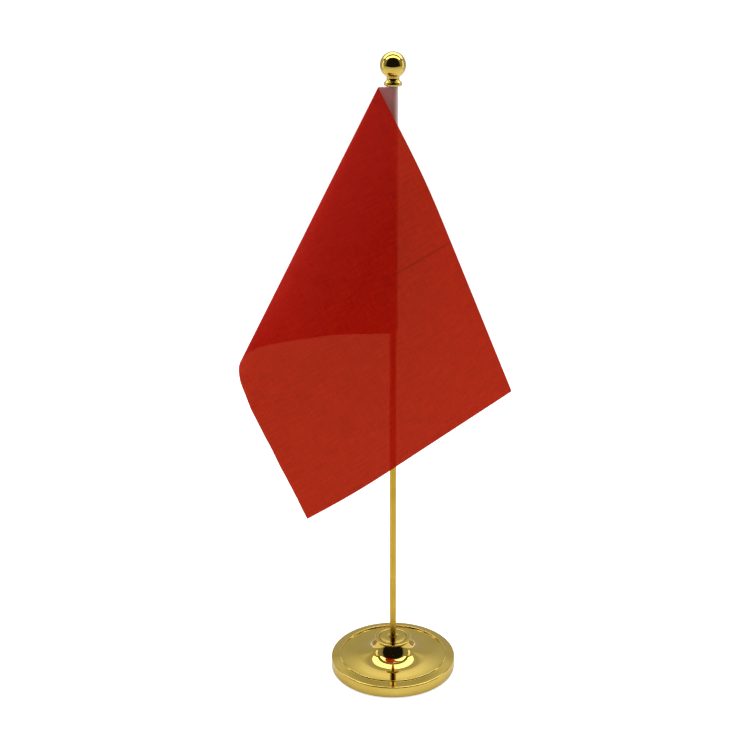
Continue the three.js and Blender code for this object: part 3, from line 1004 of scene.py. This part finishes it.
def sleeve_section():
    """The tape's path in plan, from its back end round the pole to its front end."""
    back, front = CLOTH_BACK + 0.35, CLOTH_BACK - 0.65
    centre = (0.0, (front + POLE_RADIUS + 0.35) / 2)
    radius = POLE_RADIUS + 0.35 - centre[1]
    flat_back = [(x, back) for x in np.linspace(sleeve_low.x + 0.1, -4.6, 6)]
    loop = arc(centre, radius, 132, -90, 40)
    flat_front = [(x, front) for x in np.linspace(-0.6, sleeve_low.x + 0.1 - FLAP_REACH, 14)]
    return [(float(x), float(y)) for x, y in flat_back + loop + flat_front]


def flag_sleeve():
    section = sleeve_section()
    steps = 120
    along = [0.0]
    for a, b in zip(section, section[1:]):
        along.append(along[-1] + math.dist(a, b))
    vertices, flats, faces = [], [], []
    for j in range(steps + 1):
        z = sleeve_high.z - (sleeve_high.z - sleeve_low.z) * j / steps
        for (x, y), distance in zip(section, along):
            right = max(0.0, min(1.0, (x - 0.5) / 1.5))
            sway = 0.12 * smooth_noise(z * 0.09, 0.0, 21) * right
            vertices.append((x + sway, y, z))
            flats.append((distance * MM, (sleeve_high.z - z) * MM))
    width = len(section)
    for j in range(steps):
        for i in range(width - 1):
            a = j * width + i
            faces.append((a, a + 1, a + width + 1, a + width))
    sleeve = add_object("flag_sleeve_tape", vertices, faces, white_tape)
    return with_flat_map(sleeve, flats), along[-1]


sleeve, tape_width = flag_sleeve()
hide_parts("flag_sleeve")
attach(sleeve, "flag")
print("tape", round(tape_width, 1), "mm wide and", round(sleeve_high.z - sleeve_low.z, 1), "mm long")

# %% [markdown]
# ## The sleeve's closed end and its stitches
#
# The top of the sleeve is closed by a small piece of the same tape, which keeps the flag from sliding down
# the pole. The tape and the cloth are held together by a row of short stitches. Each stitch is a little
# sunk-in bar of thread with rounded ends.

# %% Top tab and stitches
tab_low, tab_high = frame_size("sleeve_top_tab")


def top_tab():
    inner, outer = STUD_RADIUS + 0.3, tab_high.x
    outline = [(inner, tab_low.z), (outer - 0.1, tab_low.z)]
    outline += [(outer, tab_low.z + 0.1), (outer, tab_high.z - 0.1)]
    outline += [(outer - 0.1, tab_high.z), (inner, tab_high.z)]
    tab = turned("sleeve_top_end", outline, white_tape, 48)
    flats = [(v.co.x, v.co.y) for v in tab.data.vertices]
    return with_flat_map(tab, flats)


tab = top_tab()
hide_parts("sleeve_top_tab")
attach(tab, "flag")

seam_low, seam_high = frame_size("sleeve_seam_thread")
STITCH_LENGTH = 2.2
STITCH_GAP = 0.6


def stitch_row():
    """Short rounded bars of thread down the tape, in one mesh."""
    x = (seam_low.x + seam_high.x) / 2
    y = (seam_low.y + seam_high.y) / 2
    half_width, half_depth = 0.16, 0.11
    vertices, faces = [], []
    z = seam_high.z
    while z - STITCH_LENGTH > seam_low.z:
        first = len(vertices)
        rings = ((0.0, 0.15), (0.08, 0.6), (0.25, 1.0), (0.75, 1.0), (0.92, 0.6), (1.0, 0.15))
        for part, size in rings:
            for k in range(8):
                angle = 2 * math.pi * k / 8
                dip = -0.10 * (1 - size)
                vertices.append(
                    (
                        x + half_width * size * math.cos(angle),
                        y + dip + half_depth * size * math.sin(angle),
                        z - STITCH_LENGTH * part,
                    )
                )
        for ring in range(len(rings) - 1):
            for k in range(8):
                a, n = first + ring * 8 + k, first + ring * 8 + (k + 1) % 8
                faces.append((a, n, n + 8, a + 8))
        faces.append(tuple(range(first, first + 8)))
        faces.append(tuple(range(first + 47, first + 39, -1)))
        z -= STITCH_LENGTH + STITCH_GAP
    return add_object("sleeve_stitches", vertices, faces, white_thread)


stitches = stitch_row()
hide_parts("sleeve_seam_thread")
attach(stitches, "flag")

print("stitches:", len(stitches.data.vertices) // 48)

# %% [markdown]
# ## The room
#
# Polished gold shows only what is round it, so the light is planned as a room: a pale tent with a dark
# opening at the front, where the viewer stands, and two long soft lights above. The world shader draws this
# room from the direction of each ray. What the camera itself sees behind the object stays plain white.

# %% Light tent
def world_room():
    world = bpy.data.worlds.new("light_tent")
    world.use_nodes = True
    bpy.context.scene.world = world
    room = NodeTree(world.node_tree)
    background = room.tree.nodes["Background"]
    parts = room.node(
        "ShaderNodeSeparateXYZ", {0: room.node("ShaderNodeTexCoord").outputs["Generated"]}
    ).outputs
    x, y, z = parts[0], parts[1], parts[2]
    front = room.math("MULTIPLY", y, -1.0)
    # the angle over the top, from the front horizon (0) to the back horizon (180)
    over = room.math("DEGREES", room.math("ARCTAN2", z, front))
    side = room.math("DEGREES", room.math("ARCTAN2", room.math("ABSOLUTE", x), front))

    def band(value, low, high, soft):
        rise = room.remap(value, low - soft, low + soft, 0, 1)
        fall = room.remap(value, high - soft, high + soft, 1, 0)
        return room.math("MULTIPLY", rise, fall)

    # the wall behind the stand has a soft bright patch at mid height, brightest in its middle; the rest is
    # even and dimmer
    wall = room.remap(side, 50, 130, 0.24, 0.45)
    height = band(over, 137, 146, 3.0)
    patch = room.math("MULTIPLY", height, band(side, 130, 400, 15.0))
    wall = room.math("MULTIPLY_ADD", patch, 0.20, wall)
    middle = room.math("MULTIPLY", height, band(side, 173, 400, 5.0))
    wall = room.math("MULTIPLY_ADD", middle, 0.40, wall)
    overhead = room.remap(band(over, 93, 116, 2.0), 0, 1, 1.0, 0.45)
    wall = room.math("MULTIPLY", wall, overhead)
    lean = room.math("POWER", room.math("MAXIMUM", over, 0.0), 3.0)
    rounded = room.math("MULTIPLY_ADD", lean, 0.00002, side)
    opening = room.math("MULTIPLY", band(over, -30, OPENING[0], 2.0), band(rounded, -400, OPENING[1], 4.0))
    light = room.math("MULTIPLY", wall, room.math("SUBTRACT", 1.0, room.math("MULTIPLY", opening, 0.96)))
    seen = room.node("ShaderNodeLightPath").outputs
    light = room.mix(seen["Is Diffuse Ray"], light, (0.44, 0.44, 0.44, 1))
    shown = room.mix(seen["Is Camera Ray"], light, (1, 1, 1, 1))
    room.join(shown, background.inputs["Color"])
    return world


OPENING = (72, 64)
world_room()
print("room: one opening in front, up to", OPENING[0], "degrees")

# %% [markdown]
# ## Floor, light and camera
#
# The floor is a very large pale sheet with a trace of unevenness, so that it has no visible edge. It glows a
# little for the camera alone, which keeps it white. Reflections see it go dark far in front of the stand.

# %% Floor
def floor_finish():
    finish = Finish("floor_paper")
    where = finish.place()
    mottle = finish.noise(where, 9, 4, 0.6)
    finish.set(Base_Color=finish.mix(mottle, (0.90, 0.90, 0.90, 1), (0.94, 0.94, 0.94, 1)), Roughness=0.9)
    finish.shader.inputs["Specular IOR Level"].default_value = 0.0
    seen = finish.node("ShaderNodeLightPath").outputs
    finish.shader.inputs["Emission Color"].default_value = (1, 1, 1, 1)
    finish.set(Emission_Strength=finish.math("MULTIPLY", seen["Is Camera Ray"], 0.7))
    depth = finish.node("ShaderNodeSeparateXYZ", {0: where}).outputs[1]
    past = finish.math("MULTIPLY", finish.remap(depth, -1.25, -1.15, 1, 0), seen["Is Glossy Ray"])
    dark = finish.node("ShaderNodeEmission", {"Color": (0.012, 0.010, 0.008, 1)})
    whole = finish.node("ShaderNodeMixShader", {0: past})
    finish.tree.links.new(finish.shader.outputs[0], whole.inputs[1])
    finish.tree.links.new(dark.outputs[0], whole.inputs[2])
    finish.tree.links.new(whole.outputs[0], finish.output.inputs["Surface"])
    return finish.material


FLOOR_REACH = 20000.0
FLOOR_LEVEL = -0.2
floor = add_object(
    "floor",
    [(x * FLOOR_REACH, y * FLOOR_REACH, FLOOR_LEVEL) for x, y in ((-1, -1), (1, -1), (1, 1), (-1, 1))],
    [(0, 1, 2, 3)],
    floor_finish(),
    smooth=False,
)
print("floor", round(2 * FLOOR_REACH * MM), "m wide")

# %% [markdown]
# Four long soft lamps make the bright lines on the metal: one overhead, one behind, and one at each side.
# They hide from the camera and show only in reflections and as light.

# %% Lamps
def strip_lamp(name, place, target, width, depth, radiance):
    """A long soft lamp that faces a place. Its power follows from how bright its face should be."""
    data = bpy.data.lights.new(name, "AREA")
    data.shape = "RECTANGLE"
    data.size = width
    data.size_y = depth
    data.energy = radiance * math.pi * width * depth
    lamp = bpy.data.objects.new(name, data)
    lamp.location = place
    direction = Vector(target) - Vector(place)
    lamp.rotation_euler = direction.to_track_quat("-Z", "Y").to_euler()
    lamp.visible_camera = False
    bpy.context.scene.collection.objects.link(lamp)
    return lamp


strip_lamp("top_strip", (0, -0.14, 1.30), (0, 0, 0.25), 2.3, 0.32, 3.0)
strip_lamp("back_strip", (0, 0.36, 0.88), (0, 0, 0.37), 1.5, 0.34, 2.6)
for side in (-1, 1):
    strip_lamp("side_strip", (side * 0.75, 0.16, 0.40), (0, 0, 0.2), 0.20, 0.56, 1.0)
print("lamps:", len(bpy.data.lights))

# %% [markdown]
# The camera is a little higher than the finial, in front of the stand, and looks down at it.

# %% Camera
CAMERA_HEIGHT = 0.43875
CAMERA_DISTANCE = 0.70425
CAMERA_TILT = 0.3333
camera_data = bpy.data.cameras.new("camera")
camera_data.lens = 60.85
camera_data.sensor_width = 36
camera_data.shift_x = -0.02395
camera = bpy.data.objects.new("camera", camera_data)
camera.location = (0, -CAMERA_DISTANCE, CAMERA_HEIGHT)
camera.rotation_euler = (math.pi / 2 - CAMERA_TILT, 0, 0)
bpy.context.scene.collection.objects.link(camera)
bpy.context.scene.camera = camera
bpy.context.scene.view_settings.view_transform = "Standard"
print("camera", round(math.hypot(CAMERA_DISTANCE, CAMERA_HEIGHT), 2), "m from the base")
